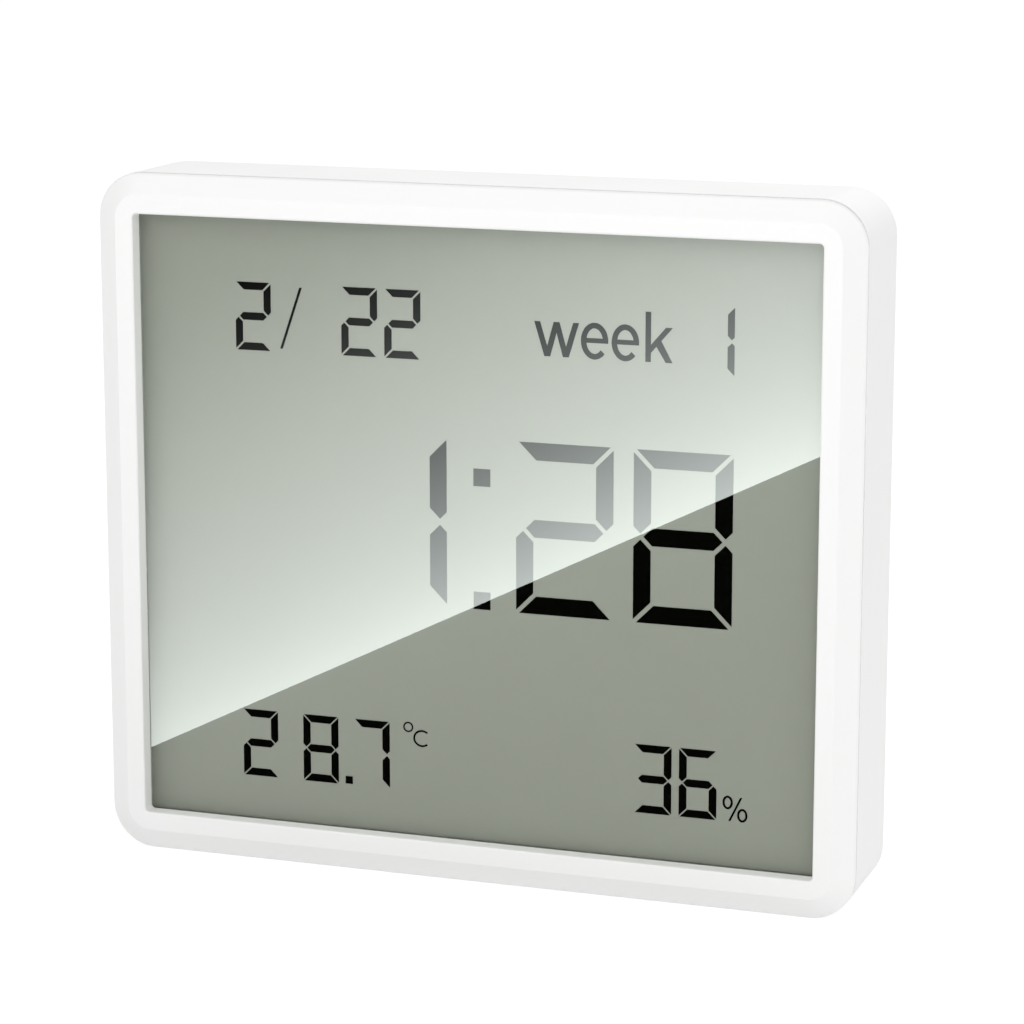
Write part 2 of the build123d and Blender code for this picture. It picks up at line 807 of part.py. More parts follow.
# Radio module: its own small board and a pressed shield
radio_x = -width / 2 + peg_side_inset + peg_head_radius + radio_peg_gap + radio_width / 2
with BuildPart() as radio_board:
    with BuildSketch(upright(board_y + radio_board_thickness)):
        with Locations((radio_x, chip_z)):
            Rectangle(radio_width, radio_length)
    extrude(amount=radio_board_thickness)
write(radio_board, "radio_board")

shield_y = board_y + radio_board_thickness
shield_z = chip_z - (radio_length - shield_length) / 2 + shield_margin
with BuildPart() as radio_shield:
    with BuildSketch(upright(shield_y + shield_height)):
        with Locations((radio_x, shield_z)):
            Rectangle(radio_width - 2 * shield_margin, shield_length)
    extrude(amount=shield_height)
    fillet(radio_shield.faces().sort_by(Axis.Y)[-1].edges(), shield_softness)
    with BuildSketch(upright(shield_y + shield_height - shield_wall)):
        with Locations((radio_x, shield_z)):
            Rectangle(
                radio_width - 2 * (shield_margin + shield_wall + shield_softness / 2),
                shield_length - 2 * (shield_wall + shield_softness / 2),
            )
    extrude(amount=shield_height - shield_wall, mode=Mode.SUBTRACT)
write(radio_shield, "radio_shield")

with BuildPart() as board_capacitors:
    with BuildSketch(upright(board_y + capacitor_height)):
        with Locations((0, chip_z - chip_size / 2 - lead_reach - capacitor_gap)):
            with GridLocations(capacitor_pitch, 0, capacitor_count, 1):
                Rectangle(capacitor_width, capacitor_length)
    extrude(amount=capacitor_height)
write(board_capacitors, "board_capacitors")
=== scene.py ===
"""Looks of a flat desk sensor for temperature and humidity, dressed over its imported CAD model.

The display's figures and legends are modelled here, the moulded pieces get softened rims and
satin plastic, and a small studio lights them. Lengths are metres in the CAD model's own frame:
X runs across, the front looks along -Y and Z is up.
"""

import json
import logging
import math
from collections.abc import Callable, Sequence
from dataclasses import dataclass
from enum import Enum

import bmesh
import bpy
from mathutils import Matrix, Vector


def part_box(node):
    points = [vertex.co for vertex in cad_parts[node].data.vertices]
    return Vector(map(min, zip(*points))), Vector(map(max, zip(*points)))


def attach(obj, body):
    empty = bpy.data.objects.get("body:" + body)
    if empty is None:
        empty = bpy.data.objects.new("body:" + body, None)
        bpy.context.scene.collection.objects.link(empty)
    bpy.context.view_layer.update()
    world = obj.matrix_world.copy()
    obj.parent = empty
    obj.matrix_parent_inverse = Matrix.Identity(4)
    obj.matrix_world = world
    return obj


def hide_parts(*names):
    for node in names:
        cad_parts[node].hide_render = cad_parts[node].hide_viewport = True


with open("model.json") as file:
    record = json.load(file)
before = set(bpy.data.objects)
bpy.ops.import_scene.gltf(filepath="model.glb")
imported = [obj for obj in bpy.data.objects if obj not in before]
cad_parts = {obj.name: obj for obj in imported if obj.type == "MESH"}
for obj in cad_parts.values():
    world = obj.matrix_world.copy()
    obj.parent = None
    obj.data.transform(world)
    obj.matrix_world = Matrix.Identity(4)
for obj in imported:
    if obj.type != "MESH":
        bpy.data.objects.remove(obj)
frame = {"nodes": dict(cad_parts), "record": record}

log = logging.getLogger("desk_sensor")

MM = 0.001

# Numbers of the Mix node's colour sockets.
MIX_LOW, MIX_HIGH, MIX_RESULT = 6, 7, 2

Colour = tuple[float, float, float]
Flat = tuple[float, float]


class Signal:
    """A number that a node gives out, on which arithmetic adds Math nodes."""

    def __init__(self, graph: "Graph", socket: bpy.types.NodeSocket) -> None:
        """Wrap a socket.

        Args:
            graph: The graph that the socket belongs to.
            socket: The output to work on.
        """
        self.graph = graph
        self.socket = socket

    def _maths(self, operation: str, *values: "Signal | float") -> "Signal":
        """Add one Math node.

        Args:
            operation: The Math node's operation.
            values: What goes into its inputs, in order.

        Returns:
            The node's result.
        """
        node = self.graph.node("ShaderNodeMath", {"operation": operation}, dict(enumerate(values)))
        return Signal(self.graph, node.outputs[0])

    def __add__(self, other: "Signal | float") -> "Signal":
        """Return self + other."""
        return self._maths("ADD", self, other)

    def __radd__(self, other: float) -> "Signal":
        """Return other + self."""
        return self._maths("ADD", other, self)

    def __sub__(self, other: "Signal | float") -> "Signal":
        """Return self - other."""
        return self._maths("SUBTRACT", self, other)

    def __rsub__(self, other: float) -> "Signal":
        """Return other - self."""
        return self._maths("SUBTRACT", other, self)

    def __mul__(self, other: "Signal | float") -> "Signal":
        """Return self * other."""
        return self._maths("MULTIPLY", self, other)

    def __rmul__(self, other: float) -> "Signal":
        """Return other * self."""
        return self._maths("MULTIPLY", other, self)

    def __pow__(self, other: float) -> "Signal":
        """Return self to a power."""
        return self._maths("POWER", self, other)

    def at_least(self, other: "Signal | float") -> "Signal":
        """Return the larger of self and other."""
        return self._maths("MAXIMUM", self, other)

    def at_most(self, other: "Signal | float") -> "Signal":
        """Return the smaller of self and other."""
        return self._maths("MINIMUM", self, other)

    def above(self, other: float) -> "Signal":
        """Return 1 where self is above other, else 0."""
        return self._maths("GREATER_THAN", self, other)

    def size(self) -> "Signal":
        """Return self without its sign."""
        return self._maths("ABSOLUTE", self)


class Graph:
    """The node tree of a material or of the world."""

    def __init__(self, owner: bpy.types.Material | bpy.types.World) -> None:
        """Start an empty tree.

        Args:
            owner: The material or world that the nodes shade.
        """
        owner.use_nodes = True
        self.tree = owner.node_tree
        self.tree.nodes.clear()

    def node(
        self,
        kind: str,
        settings: dict[str, object] | None = None,
        inputs: dict[str | int, object] | None = None,
    ) -> bpy.types.Node:
        """Add a node.

        Args:
            kind: The node's type, such as ShaderNodeBump.
            settings: Its settings, set before its inputs.
            inputs: Values, signals or sockets for its inputs, by name or number.

        Returns:
            The new node.
        """
        node = self.tree.nodes.new(kind)
        for name, value in (settings or {}).items():
            setattr(node, name, value)
        for name, value in (inputs or {}).items():
            if isinstance(value, Signal):
                value = value.socket
            if isinstance(value, bpy.types.NodeSocket):
                self.tree.links.new(value, node.inputs[name])
            else:
                node.inputs[name].default_value = value
        return node

    def signal(self, kind: str, output: str, inputs: dict[str | int, object] | None = None) -> Signal:
        """Add a node and return one of its outputs as a number.

        Args:
            kind: The node's type.
            output: The name of the output.
            inputs: Values, signals or sockets for its inputs.

        Returns:
            The output's number.
        """
        return Signal(self, self.node(kind, None, inputs).outputs[output])

    def place(self) -> bpy.types.NodeSocket:
        """Return the place on the piece, in metres."""
        return self.node("ShaderNodeTexCoord").outputs["Object"]

    def noise(self, size: float, detail: float = 2.0) -> Signal:
        """Add cloudy noise.

        Args:
            size: The size of its patches, in metres.
            detail: How much finer noise rides on it.

        Returns:
            The noise, about 0.5 in the mean.
        """
        inputs = {"Vector": self.place(), "Scale": 1 / size, "Detail": detail}
        return self.signal("ShaderNodeTexNoise", "Fac", inputs)

    def along(self, axis: str) -> Signal:
        """Return one coordinate of the place on the piece, in metres."""
        return self.signal("ShaderNodeSeparateXYZ", axis, {0: self.place()})

    def ray(self, *kinds: str) -> Signal:
        """Tell rays of some kinds from the rest.

        Args:
            kinds: The kinds, such as Camera.

        Returns:
            1 for a ray of any of these kinds, else 0.
        """
        path = self.node("ShaderNodeLightPath").outputs
        found = Signal(self, path[f"Is {kinds[0]} Ray"])
        for kind in kinds[1:]:
            found = found.at_least(Signal(self, path[f"Is {kind} Ray"]))
        return found

    def tint(
        self, amount: "Signal | float", low: Colour | bpy.types.NodeSocket, high: Colour
    ) -> bpy.types.NodeSocket:
        """Blend two colours.

        Args:
            amount: 0 for the low colour and 1 for the high one.
            low: Linear colour at 0, or the socket that gives it.
            high: Linear colour at 1.

        Returns:
            The blended colour.
        """
        first = low if isinstance(low, bpy.types.NodeSocket) else (*low, 1)
        inputs = {"Factor": amount, MIX_LOW: first, MIX_HIGH: (*high, 1)}
        return self.node("ShaderNodeMix", {"data_type": "RGBA"}, inputs).outputs[MIX_RESULT]

    def show(self, surface: bpy.types.NodeSocket) -> None:
        """Join a shader to the output."""
        kind = "ShaderNodeOutputWorld" if self.is_world() else "ShaderNodeOutputMaterial"
        self.node(kind, None, {"Surface": surface})

    def is_world(self) -> bool:
        """Tell whether the tree belongs to the world."""
        return any(world.node_tree == self.tree for world in bpy.data.worlds)


def darker(colour: Colour, share: float) -> Colour:
    """Return a colour darkened by a share."""
    return tuple(channel * (1 - share) for channel in colour)


@dataclass(frozen=True)
class PaintedSeamShade:
    """Painted shade in the groove between two mouldings, along the top: the groove's colour is darkened
    there to stand in for its shade.
    """

    front_y: float
    top_z: float
    groove: float = 0.45 * MM
    rim: float = 0.14 * MM
    corner: float = 4.6 * MM
    share: float = 0.13

    def mask(self, graph: Graph) -> Signal:
        """Find the groove along the top.

        Args:
            graph: The material's graph.

        Returns:
            1 in the groove's top, fading to 0 across its rims and down the corners.
        """
        middle = self.front_y + self.groove / 2
        beyond = ((graph.along("Y") - middle).size() - self.groove / 2).at_least(0.0)
        across = (1 - beyond * (1 / self.rim)).at_least(0.0)
        up = (graph.along("Z") - (self.top_z - self.corner)) * (1 / self.corner)
        return across * up.at_least(0.0).at_most(1.0)


@dataclass(frozen=True)
class Moulded:
    """Moulded or cast plastic with a fine eroded grain."""

    name: str
    colour: Colour
    roughness: float = 0.45
    shine: float = 0.5
    grain: float = 0.22 * MM
    grain_depth: float = 0.0012 * MM
    grain_gloss: float = 0.08
    cloud: float = 14 * MM
    cloud_share: float = 0.015
    cloud_gloss: float = 0.12
    seam: PaintedSeamShade | None = None

    def material(self) -> bpy.types.Material:
        """Build the material."""
        made = bpy.data.materials.new(self.name)
        graph = Graph(made)
        cloud = graph.noise(self.cloud)
        grain = graph.noise(self.grain, 3)
        bump = graph.node("ShaderNodeBump", None, {"Height": grain, "Distance": self.grain_depth})
        colour = graph.tint(cloud, darker(self.colour, self.cloud_share), self.colour)
        # Painted shade: the colour is darkened in the seam's groove along the top.
        if self.seam:
            colour = graph.tint(self.seam.mask(graph), colour, darker(self.colour, self.seam.share))
        uneven = self.cloud_gloss * (cloud - 0.5) + self.grain_gloss * (grain - 0.5)
        inputs = {
            "Base Color": colour,
            "Roughness": self.roughness + uneven,
            "Specular IOR Level": self.shine,
            "Normal": bump.outputs[0],
        }
        graph.show(graph.node("ShaderNodeBsdfPrincipled", None, inputs).outputs[0])
        return made


@dataclass(frozen=True)
class ClearSheet:
    """A clear window whose front face carries the reflection of both its faces.

    Light on its way to what lies behind passes it whole; only what is seen in it is mirrored.
    """

    name: str
    tint: Colour
    mirror_share: float
    haze: float
    edge_power: int = 5

    def material(self) -> bpy.types.Material:
        """Build the material."""
        made = bpy.data.materials.new(self.name)
        graph = Graph(made)
        facing = graph.signal("ShaderNodeLayerWeight", "Facing", {"Blend": 0.5})
        inside = graph.signal("ShaderNodeNewGeometry", "Backfacing")
        mirror = self.mirror_share + (1 - self.mirror_share) * facing**self.edge_power
        outer = (1 - graph.ray("Shadow", "Diffuse")) * (1 - inside)
        clear = graph.node("ShaderNodeBsdfTransparent", None, {"Color": (*self.tint, 1)})
        gloss = graph.node("ShaderNodeBsdfGlossy", None, {"Color": (1, 1, 1, 1), "Roughness": self.haze})
        inputs = {0: mirror * outer, 1: clear.outputs[0], 2: gloss.outputs[0]}
        graph.show(graph.node("ShaderNodeMixShader", None, inputs).outputs[0])
        return made


@dataclass(frozen=True)
class Plated:
    """Rolled or drawn metal with a plated skin."""

    name: str
    colour: Colour
    roughness: float
    drawn_scale: tuple[float, float, float] = (9000, 400, 400)
    line_depth: float = 0.001 * MM
    line_gloss: float = 0.15
    patina: float = 3 * MM
    patina_share: float = 0.12
    patina_gloss: float = 0.1

    def material(self) -> bpy.types.Material:
        """Build the material."""
        made = bpy.data.materials.new(self.name)
        graph = Graph(made)
        stretch = {"Vector": graph.place(), "Scale": self.drawn_scale}
        drawn = graph.node("ShaderNodeMapping", None, stretch).outputs[0]
        lines = graph.signal("ShaderNodeTexNoise", "Fac", {"Vector": drawn, "Scale": 1.0, "Detail": 3})
        patina = graph.noise(self.patina)
        bump = graph.node("ShaderNodeBump", None, {"Height": lines, "Distance": self.line_depth})
        uneven = self.line_gloss * (lines - 0.5) + self.patina_gloss * (patina - 0.5)
        inputs = {
            "Base Color": graph.tint(patina, darker(self.colour, self.patina_share), self.colour),
            "Metallic": 1.0,
            "Roughness": self.roughness + uneven,
            "Normal": bump.outputs[0],
        }
        graph.show(graph.node("ShaderNodeBsdfPrincipled", None, inputs).outputs[0])
        return made


@dataclass(frozen=True)
class SolderMask:
    """Board laminate under a glossy mask, with copper tracks showing through."""

    name: str
    mask: Colour
    track: Colour
    track_width: float = 0.14 * MM
    track_pitch: float = 0.9 * MM
    branch_pitch: float = 5.2 * MM
    branch_offset: float = 0.37
    branch_squash: float = 0.6
    squashed_row: int = 3
    copper_height: float = 0.02 * MM
    roughness: float = 0.28
    patch: float = 2 * MM
    patch_gloss: float = 0.1

    def material(self) -> bpy.types.Material:
        """Build the material."""
        made = bpy.data.materials.new(self.name)
        graph = Graph(made)
        flat = {"Vector": graph.place(), "Rotation": (math.pi / 2, 0, 0)}
        across = graph.node("ShaderNodeMapping", None, flat).outputs[0]
        settings = {
            "offset": self.branch_offset,
            "squash": self.branch_squash,
            "squash_frequency": self.squashed_row,
        }
        inputs = {
            "Vector": across,
            "Color1": (1, 1, 1, 1),
            "Color2": (1, 1, 1, 1),
            "Mortar": (0, 0, 0, 1),
            "Scale": 1.0,
            "Mortar Size": self.track_width,
            "Brick Width": self.branch_pitch,
            "Row Height": self.track_pitch,
        }
        tracks = Signal(graph, graph.node("ShaderNodeTexBrick", settings, inputs).outputs["Fac"])
        bump = graph.node("ShaderNodeBump", None, {"Height": tracks, "Distance": self.copper_height})
        shading = {
            "Base Color": graph.tint(tracks, self.mask, self.track),
            "Roughness": self.roughness + self.patch_gloss * graph.noise(self.patch),
            "Normal": bump.outputs[0],
        }
        graph.show(graph.node("ShaderNodeBsdfPrincipled", None, shading).outputs[0])
        return made


@dataclass(frozen=True)
class Striped:
    """Layered rubber: thin conducting and insulating bands in turn."""

    name: str
    dark: Colour
    light: Colour
    pitch: float
    roughness: float = 0.7
    wave_length: float = 0.314

    def material(self) -> bpy.types.Material:
        """Build the material."""
        made = bpy.data.materials.new(self.name)
        graph = Graph(made)
        settings = {"wave_type": "BANDS", "bands_direction": "X"}
        inputs = {"Vector": graph.place(), "Scale": self.wave_length / self.pitch}
        bands = Signal(graph, graph.node("ShaderNodeTexWave", settings, inputs).outputs["Fac"])
        shading = {"Base Color": graph.tint(bands, self.dark, self.light), "Roughness": self.roughness}
        graph.show(graph.node("ShaderNodeBsdfPrincipled", None, shading).outputs[0])
        return made


WHITE = (0.93, 0.93, 0.925)
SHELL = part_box("rear_housing")
DISPLAY_FILM = Moulded(
    "Display_film",
    (0.441, 0.471, 0.400),
    roughness=0.6,
    shine=0.0,
    grain=0.4 * MM,
    grain_depth=0.0004 * MM,
    cloud=9 * MM,
    cloud_share=0.03,
)
DISPLAY_GLASS = Moulded("Display_glass", (0.30, 0.33, 0.29), roughness=0.1, grain=2 * MM, grain_depth=0.0)
FIGURE_INK = Moulded(
    "Figure_dark", (0.0025, 0.003, 0.002), roughness=0.7, shine=0.0, grain=0.4 * MM, grain_depth=0.0
)
FINISHES = {
    # The housing's seam groove along the top gets painted shade.
    "housing_white": Moulded("Housing_ABS", WHITE, seam=PaintedSeamShade(SHELL[0].y, SHELL[1].z)),
    "cover_white": Moulded("Cover_ABS", WHITE),
    "key_white": Moulded("Key_ABS", (0.90, 0.90, 0.89), roughness=0.38, grain_depth=0.0008 * MM),
    "clear_window": ClearSheet("Window_acrylic", (1.0, 1.0, 1.0), mirror_share=0.28, haze=0.0),
    "clear_tape": Moulded("Window_tape", (0.74, 0.75, 0.72), roughness=0.6),
    "polariser_film": DISPLAY_FILM,
    "display_glass": DISPLAY_GLASS,
    "reflector_film": Moulded("Reflector_film", (0.34, 0.36, 0.31), roughness=0.35),
    "strip_rubber": Striped("Connector_rubber", (0.02, 0.02, 0.022), (0.35, 0.33, 0.33), pitch=0.1 * MM),
    "tray_plastic": Moulded("Tray_ABS", (0.80, 0.80, 0.78)),
    "board_laminate": SolderMask("Board_mask", (0.012, 0.13, 0.045), (0.05, 0.26, 0.10)),
    "chip_black": Moulded("Chip_epoxy", (0.025, 0.025, 0.027), roughness=0.5, grain_depth=0.003 * MM),
    "switch_black": Moulded("Switch_nylon", (0.035, 0.035, 0.037), roughness=0.42),
    "capacitor_brown": Moulded("Capacitor_ceramic", (0.33, 0.22, 0.13), roughness=0.35),
    "plated_steel": Plated("Plated_steel", (0.66, 0.65, 0.62), roughness=0.28),
}


def new_piece(name: str, bm: bmesh.types.BMesh, material: bpy.types.Material) -> bpy.types.Object:
    """Turn a bmesh into an object in the scene.

    Args:
        name: The piece's name.
        bm: The finished bmesh, which is freed.
        material: The finish that it wears.

    Returns:
        The new object, at the origin.
    """
    mesh = bpy.data.meshes.new(name)
    bm.to_mesh(mesh)
    bm.free()
    mesh.materials.append(material)
    piece = bpy.data.objects.new(name, mesh)
    bpy.context.scene.collection.objects.link(piece)
    return piece


@dataclass(frozen=True)
class Rim:
    """A set of outward folds that get a small round."""

    where: Callable[[Vector], bool]
    radius: float
    fold: float = math.radians(20)
    segments: int = 2

    def takes(self, edge: bmesh.types.BMEdge) -> bool:
        """Tell whether an edge belongs to the rim.

        Args:
            edge: An edge of the merged mesh.

        Returns:
            True for an outward fold whose ends both lie where the rim is.
        """
        if len(edge.link_faces) != 2 or not edge.is_convex:
            return False
        return edge.calc_face_angle(0) > self.fold and all(self.where(vert.co) for vert in edge.verts)

    def round(self, bm: bmesh.types.BMesh) -> None:
        """Round the rim's edges.

        Args:
            bm: The merged mesh.
        """
        edges = [edge for edge in bm.edges if self.takes(edge)]
        bmesh.ops.bevel(
            bm,
            geom=edges,
            offset=self.radius,
            offset_type="OFFSET",
            segments=self.segments,
            profile=0.5,
            affect="EDGES",
            clamp_overlap=False,
            material=-1,
        )


@dataclass
class Moulding:
    """A moulded piece that keeps its CAD node's shape, with its outer rims broken by small rounds."""

    node: str
    body: str
    slot: str
    rims: list[Rim]
    merge_distance: float = 0.0005 * MM
    flat_angle: float = math.radians(0.2)
    smooth_angle: float = math.radians(24)

    def build(self, material: bpy.types.Material) -> bpy.types.Object:
        """Copy the node, merge it, round its rims and smooth it.

        Args:
            material: The finish that it wears.

        Returns:
            The dressed piece.
        """
        bm = bmesh.new()
        bm.from_mesh(frame["nodes"][self.node].data)
        bmesh.ops.remove_doubles(bm, verts=bm.verts, dist=self.merge_distance)
        bmesh.ops.dissolve_limit(
            bm, angle_limit=self.flat_angle, verts=bm.verts, edges=bm.edges, delimit={"NORMAL"}
        )
        for rim in self.rims:
            rim.round(bm)
        bmesh.ops.recalc_face_normals(bm, faces=bm.faces)
        for face in bm.faces:
            face.smooth = True
        piece = new_piece(f"{self.node}_dressed", bm, material)
        piece.data.set_sharp_from_angle(angle=self.smooth_angle)
        weighted = piece.modifiers.new("Even_shading", "WEIGHTED_NORMAL")
        weighted.keep_sharp = True
        weighted.weight = 100
        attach(piece, self.body)
        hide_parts(self.node)
        return piece


@dataclass
class Case:
    """The moulded pieces that show, with the rims that get their rounds."""

    slope_round: float = 0.22 * MM
    slope_steps: int = 3
    frame_round: float = 0.05 * MM
    shell_round: float = 0.1 * MM
    cover_round: float = 0.06 * MM
    cover_depth: float = 0.4 * MM
    touch: float = 0.02 * MM
    seam_fold: float = math.radians(50)
    shell_fold: float = math.radians(60)

    def near_back(self, node: str, depth: float) -> Callable[[Vector], bool]:
        """Make a test for points near a node's rear face.

        Args:
            node: The CAD node.
            depth: How far forwards of its rear face the test still holds.

        Returns:
            The test.
        """
        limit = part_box(node)[1].y - depth
        return lambda point: point.y > limit

    def frame_rims(self) -> list[Rim]:
        """List the front frame's rims: where the slope ends, the opening, and the seam.

        Returns:
            The rims, in the order in which they are rounded.
        """
        low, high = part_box("front_bezel")
        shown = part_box("front_polariser")
        seam_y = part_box("rear_housing")[0].y
        side = (high.x + shown[1].x) / 2
        top, foot = (high.z + shown[1].z) / 2, (low.z + shown[0].z) / 2

        def outer(point: Vector) -> bool:
            """Tell whether a point lies outside the middle of the frame's border."""
            return abs(point.x) > side or not foot < point.z < top

        def front(point: Vector) -> bool:
            """Tell whether a point lies on the frame's front face."""
            return point.y < low.y + self.touch

        def seam(point: Vector) -> bool:
            """Tell whether a point lies on the seam's outer edge."""
            return abs(point.y - seam_y) < self.touch and outer(point)

        return [
            Rim(lambda point: front(point) and outer(point), self.slope_round, segments=self.slope_steps),
            Rim(lambda point: front(point) and not outer(point), self.frame_round),
            Rim(seam, self.frame_round, self.seam_fold),
        ]

    def mouldings(self) -> list[Moulding]:
        """List the moulded pieces.

        Returns:
            The pieces, each with its body, its slot and its rims.
        """
        shell = Rim(self.near_back("rear_housing", self.touch), self.shell_round, self.shell_fold)
        rows = [
            Moulding("front_bezel", "housing", "housing_white", self.frame_rims()),
            Moulding("rear_housing", "housing", "housing_white", [shell]),
        ]
        covers = {"battery_door": "cover_white", "kickstand": "cover_white"}
        keys = dict.fromkeys(("set_key", "up_key", "down_key"), "key_white")
        for node, slot in (covers | keys).items():
            rim = Rim(self.near_back(node, self.cover_depth), self.cover_round)
            rows.append(Moulding(node, node, slot, [rim]))
        return rows

    def build(self, materials: dict[str, bpy.types.Material]) -> list[bpy.types.Object]:
        """Make every moulded piece.

        Args:
            materials: The materials by slot.

        Returns:
            The dressed pieces.
        """
        return [moulding.build(materials[moulding.slot]) for moulding in self.mouldings()]


class Bar(Enum):
    """The seven bars of a figure, named by where they lie."""

    TOP = "top"
    UPPER_LEFT = "upper left"
    UPPER_RIGHT = "upper right"
    MIDDLE = "middle"
    LOWER_LEFT = "lower left"
    LOWER_RIGHT = "lower right"
    BOTTOM = "bottom"


FIGURE_BARS = {
    "1": (Bar.UPPER_RIGHT, Bar.LOWER_RIGHT),
    "2": (Bar.TOP, Bar.UPPER_RIGHT, Bar.MIDDLE, Bar.LOWER_LEFT, Bar.BOTTOM),
    "3": (Bar.TOP, Bar.UPPER_RIGHT, Bar.MIDDLE, Bar.LOWER_RIGHT, Bar.BOTTOM),
    "6": (Bar.TOP, Bar.UPPER_LEFT, Bar.MIDDLE, Bar.LOWER_LEFT, Bar.LOWER_RIGHT, Bar.BOTTOM),
    "7": (Bar.TOP, Bar.UPPER_RIGHT, Bar.LOWER_RIGHT),
    "8": tuple(Bar),
}


@dataclass(frozen=True)
class FigureStyle:
    """The size of a row's seven-bar figures."""

    width: float
    height: float
    bar: float
    gap: float
    nib_share: float = 0.4

    def outline(self, bar: Bar) -> list[Flat]:
        """Work out one bar's corners.

        Args:
            bar: Which bar.

        Returns:
            Its corners from the figure's lower left corner, as x and z.
        """
        wide, high, thick, gap = self.width, self.height, self.bar, self.gap
        nib = self.nib_share * thick
        inner = thick + gap
        middle = high / 2
        if bar is Bar.TOP:
            return [(gap, high), (wide - gap, high), (wide - inner, high - thick), (inner, high - thick)]
        if bar is Bar.UPPER_RIGHT:
            return [
                (wide, high - gap),
                (wide, middle + gap + nib),
                (wide - nib, middle + gap),
                (wide - thick, middle + inner - nib),
                (wide - thick, high - inner),
            ]
        if bar is Bar.MIDDLE:
            tip, half = nib + gap, thick / 2
            return [
                (tip, middle),
                (tip + half, middle + half),
                (wide - tip - half, middle + half),
                (wide - tip, middle),
                (wide - tip - half, middle - half),
                (tip + half, middle - half),
            ]
        if bar in (Bar.LOWER_RIGHT, Bar.BOTTOM):
            twin = Bar.TOP if bar is Bar.BOTTOM else Bar.UPPER_RIGHT
            return [(x, high - z) for x, z in self.outline(twin)]
        twin = Bar.UPPER_RIGHT if bar is Bar.UPPER_LEFT else Bar.LOWER_RIGHT
        return [(wide - x, z) for x, z in self.outline(twin)]


@dataclass
class Artwork:
    """Dark shapes of the display, drawn flat in x and z and then given their thickness."""

    name: str
    face_y: float
    thickness: float
    merge_distance: float = 0.001 * MM

    def __post_init__(self) -> None:
        """Start with nothing drawn."""
        self.bm = bmesh.new()

    def patch(self, corners: Sequence[Flat]) -> None:
        """Draw a shape with straight sides.

        Args:
            corners: Its corners in order, as x and z.
        """
        verts = [self.bm.verts.new((x, self.face_y, z)) for x, z in corners]
        self.bm.faces.new(verts)

    def figures(self, style: FigureStyle, foot: float, places: Sequence[tuple[str, float]]) -> None:
        """Draw seven-bar figures side by side.

        Args:
            style: Their size.
            foot: Their foot, in z.
            places: Each figure with its left side, in x.
        """
        for digit, left in places:
            for bar in FIGURE_BARS[digit]:
                self.patch([(left + x, foot + z) for x, z in style.outline(bar)])

    def block(self, left: float, foot: float, wide: float, high: float) -> None:
        """Draw an upright rectangle."""
        self.patch([(left, foot), (left + wide, foot), (left + wide, foot + high), (left, foot + high)])

    def slant(self, foot: Flat, head: Flat, wide: float) -> None:
        """Draw a slanting stroke with level ends.

        Args:
            foot: The middle of its lower end.
            head: The middle of its upper end.
            wide: Its width, measured level.
        """
        half = wide / 2
        lower = [(foot[0] - half, foot[1]), (foot[0] + half, foot[1])]
        self.patch([*lower, (head[0] + half, head[1]), (head[0] - half, head[1])])

    def bow(
        self, centre: Flat, radii: Flat, line: float, start: float = 0, sweep: float = 360, steps: int = 28
    ) -> None:
        """Draw part of an oval ring by spinning a short line.

        Args:
            centre: The oval's centre.
            radii: Half its width and half its height, to the middle of the line.
            line: The line's width.
            start: Where it starts, in degrees from the right, anticlockwise.
            sweep: How far it turns, in degrees.
            steps: How many faces it has.
        """
        wide, high = radii
        middle = Vector((centre[0], self.face_y, centre[1]))
        ends = [self.bm.verts.new(middle + Vector((wide + side * line / 2, 0, 0))) for side in (-1, 1)]
        edge = self.bm.edges.new(ends)
        turn = Matrix.Rotation(math.radians(-start), 3, "Y")
        bmesh.ops.rotate(self.bm, cent=middle, matrix=turn, verts=ends)
        before = set(self.bm.verts)
        bmesh.ops.spin(
            self.bm,
            geom=[*ends, edge],
            cent=middle,
            axis=(0, -1, 0),
            angle=math.radians(sweep),
            steps=steps,
            use_merge=sweep >= 360,
        )
        drawn = [vert for vert in self.bm.verts if vert not in before] + [v for v in ends if v.is_valid]
        for vert in drawn:
            offset = vert.co - middle
            reach = math.hypot(offset.x, offset.z)
            share = (reach - wide) / reach
            vert.co.z = middle.z + offset.z * (share + (1 - share) * high / wide)

    def finish(self, material: bpy.types.Material) -> bpy.types.Object:
        """Give the drawn shapes their thickness and make the piece.

        Args:
            material: The finish that they wear.

        Returns:
            The dressed piece.
        """
        bmesh.ops.remove_doubles(self.bm, verts=self.bm.verts, dist=self.merge_distance)
        bmesh.ops.recalc_face_normals(self.bm, faces=self.bm.faces)
        raised = bmesh.ops.extrude_face_region(self.bm, geom=list(self.bm.faces))
        verts = [item for item in raised["geom"] if isinstance(item, bmesh.types.BMVert)]
        bmesh.ops.translate(self.bm, vec=(0, -self.thickness, 0), verts=verts)
        bmesh.ops.recalc_face_normals(self.bm, faces=self.bm.faces)
        piece = new_piece(self.name, self.bm, material)
        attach(piece, "housing")
        return piece


